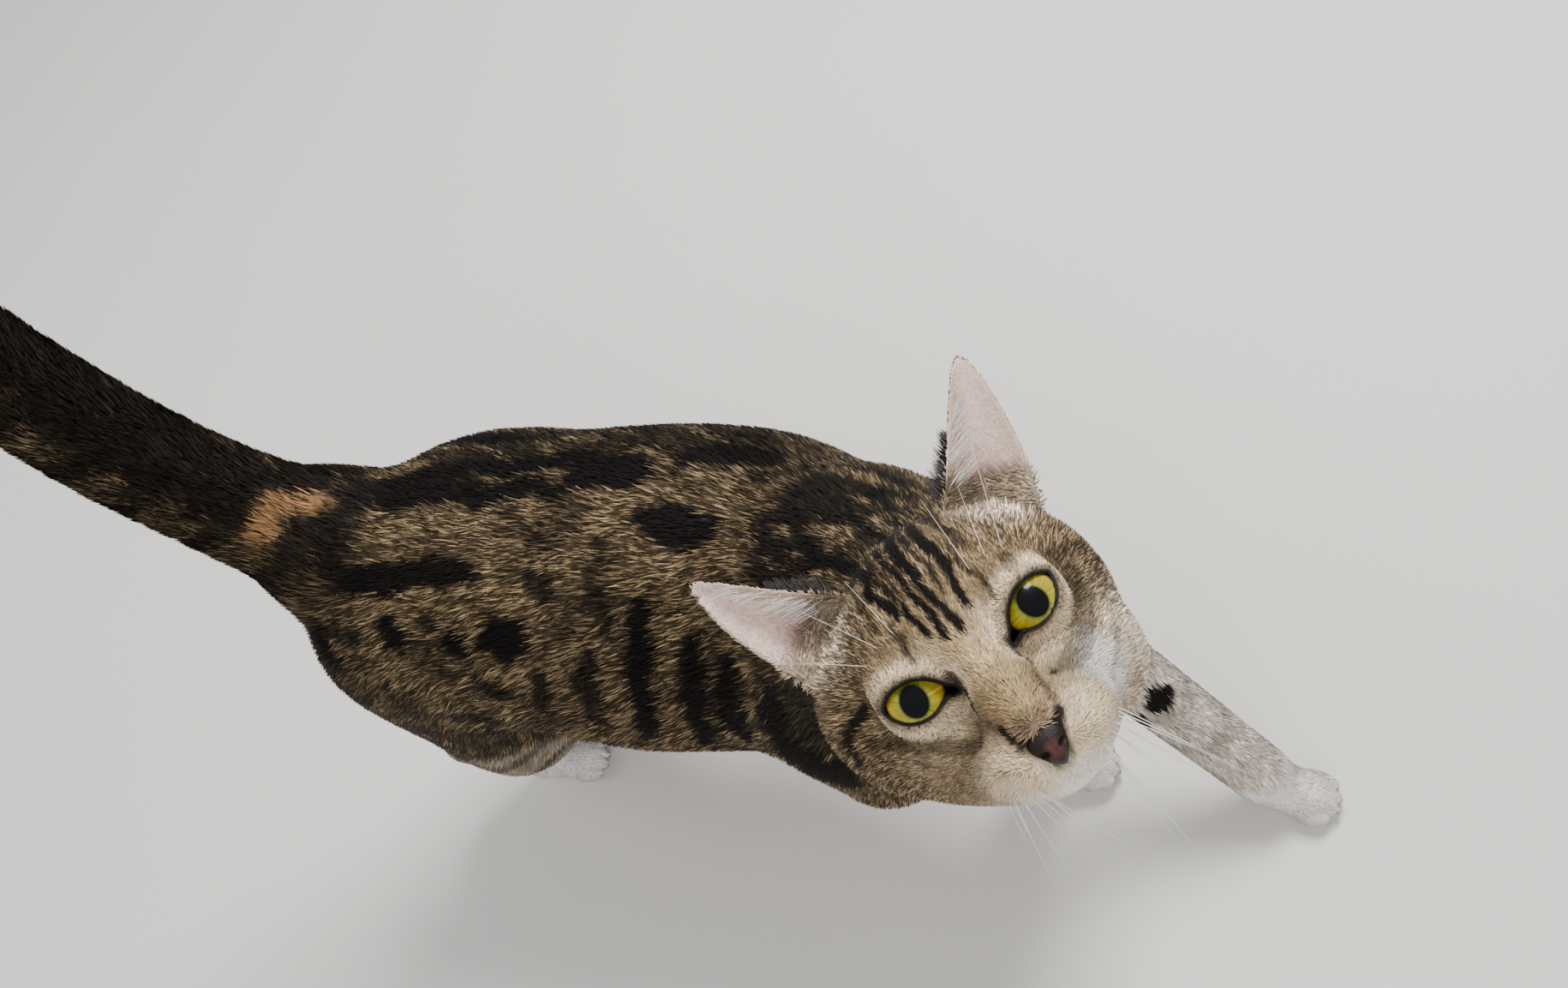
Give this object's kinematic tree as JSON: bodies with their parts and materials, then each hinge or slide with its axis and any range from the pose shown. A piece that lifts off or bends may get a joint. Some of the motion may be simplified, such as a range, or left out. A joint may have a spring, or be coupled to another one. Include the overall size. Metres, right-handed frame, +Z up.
{
  "type": "domestic cat model",
  "caption": "Life-size still model of a walking shorthair cat, tail raised, head turned to its right and looking up, standing on its paws.",
  "frame": {"origin": "on the floor, under the middle of the whole body's box", "axes": "+Z up, +X the way the trunk faces, +Y the cat's left side"},
  "size_m": [0.4554, 0.2002, 0.5017],
  "materials": {
    "coat": "short dense fur, agouti brown with black tabby stripes and spots",
    "white_coat": "short dense white fur",
    "ear": "thin skin with fine pale hair inside, short dark fur behind",
    "eye": "wet gloss, yellow-green iris with a dark oval pupil",
    "nose": "dusky pink pebbled nose leather, slightly moist"
  },
  "bodies": {
    "root": {"head": "coat", "neck": "coat", "trunk": "coat", "tail_base": "coat", "tail_middle": "coat", "tail_tip": "coat", "foreleg_left": "coat", "foreleg_right": "coat", "hindleg_left": "coat", "hindleg_right": "coat", "forepaw_left": "white_coat", "forepaw_right": "white_coat", "hindpaw_left": "white_coat", "hindpaw_right": "white_coat", "ear_left": "ear", "ear_right": "ear", "eye_left": "eye", "eye_right": "eye", "nose": "nose"}
  },
  "joints": []
}
